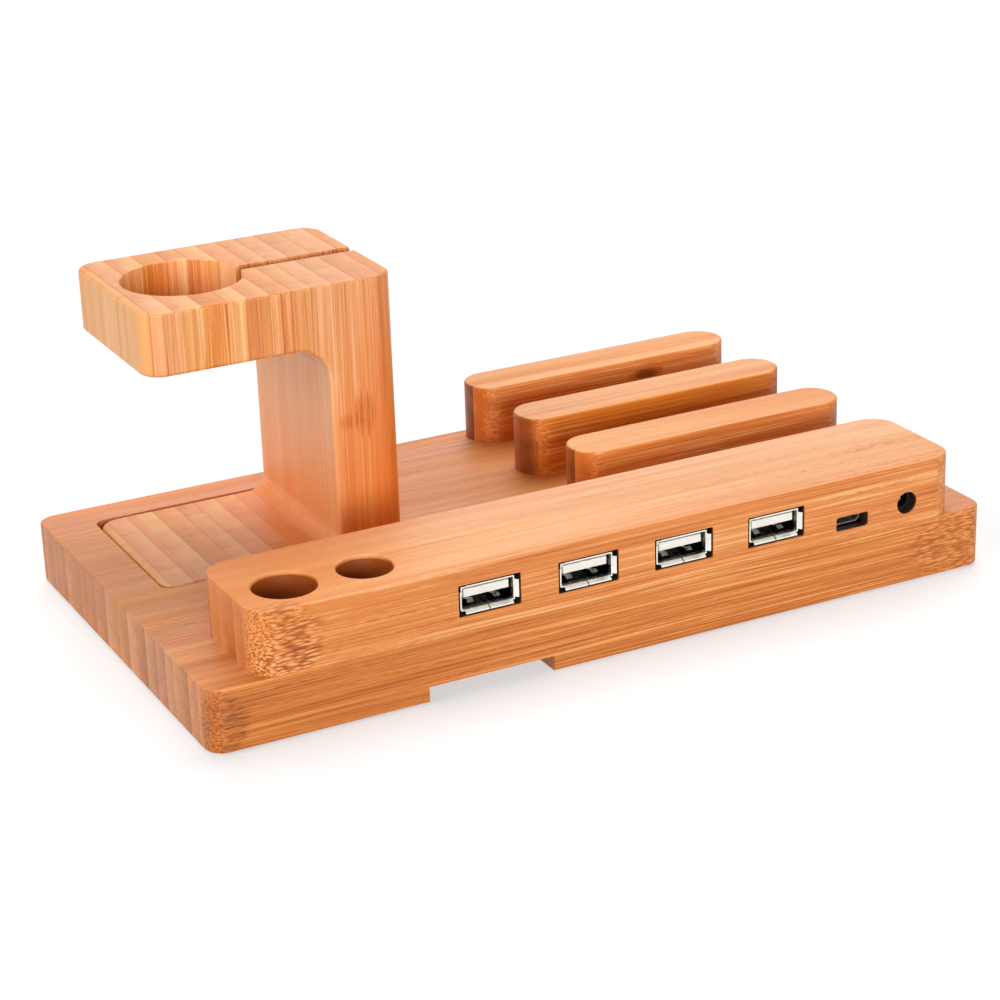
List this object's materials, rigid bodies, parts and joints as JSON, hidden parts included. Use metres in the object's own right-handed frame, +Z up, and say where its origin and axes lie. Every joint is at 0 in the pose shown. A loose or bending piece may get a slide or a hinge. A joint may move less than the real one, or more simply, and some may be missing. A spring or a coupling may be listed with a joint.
{
  "type": "charging station organizer",
  "caption": "Bamboo desk charging station: a base with upright rests for phones and tablets, a front bar with USB sockets and pen holes, and a lift-out watch stand.",
  "frame": {"origin": "on the table, under the middle of the base", "axes": "+X along the socket face to the right as seen from in front of it, +Y away from the socket face, +Z up"},
  "size_m": [0.2, 0.114, 0.0805],
  "materials": {
    "bamboo": "carbonised laminated bamboo, sanded and clear oiled",
    "dowel_wood": "turned beech, unfinished",
    "foot_rubber": "moulded rubber, matt",
    "zinc_plated_steel": "cold-headed steel, zinc plated",
    "nickel_plated_steel": "stamped and folded steel, nickel plated",
    "white_plastic": "injection-moulded thermoplastic, white",
    "black_plastic": "injection-moulded thermoplastic, black",
    "gold_plated_contact": "stamped copper alloy, gold plated",
    "tinned_contact": "stamped copper alloy, tin plated",
    "circuit_board": "glass-fibre laminate with green solder mask",
    "capacitor_can": "drawn aluminium can",
    "ceramic_chip": "sintered ceramic with tinned ends",
    "ferrite": "pressed ferrite, bare"
  },
  "bodies": {
    "station": {"base_board": "bamboo", "hub_housing": "bamboo", "slat_front": "bamboo", "slat_middle": "bamboo", "slat_rear": "bamboo", "slat_dowels": "dowel_wood", "housing_screws": "zinc_plated_steel", "foot_front_left": "foot_rubber", "foot_front_right": "foot_rubber", "foot_rear_left": "foot_rubber", "foot_rear_right": "foot_rubber", "hub_board": "circuit_board", "board_screws": "zinc_plated_steel", "hub_controller_chip": "black_plastic", "clock_crystal": "nickel_plated_steel", "power_regulator_chip": "black_plastic", "power_inductor": "ferrite", "protection_diode": "black_plastic", "filter_capacitors": "capacitor_can", "chip_capacitors": "ceramic_chip", "chip_resistors": "ceramic_chip", "micro_usb_shell": "nickel_plated_steel", "micro_usb_insulator": "black_plastic", "micro_usb_contacts": "gold_plated_contact", "dc_jack_body": "black_plastic", "dc_jack_pin": "tinned_contact", "dc_jack_spring": "tinned_contact", "usb_shell_1": "nickel_plated_steel", "usb_insulator_1": "white_plastic", "usb_contacts_1": "gold_plated_contact", "usb_shell_2": "nickel_plated_steel", "usb_insulator_2": "white_plastic", "usb_contacts_2": "gold_plated_contact", "usb_shell_3": "nickel_plated_steel", "usb_insulator_3": "white_plastic", "usb_contacts_3": "gold_plated_contact", "usb_shell_4": "nickel_plated_steel", "usb_insulator_4": "white_plastic", "usb_contacts_4": "gold_plated_contact"},
    "stand": {"watch_stand": "bamboo"}
  },
  "joints": [
    {"name": "watch_stand_lift", "type": "slide", "parent": "station", "child": "stand", "axis": [0, 0, 1], "range_m": [0, 0.04]}
  ]
}
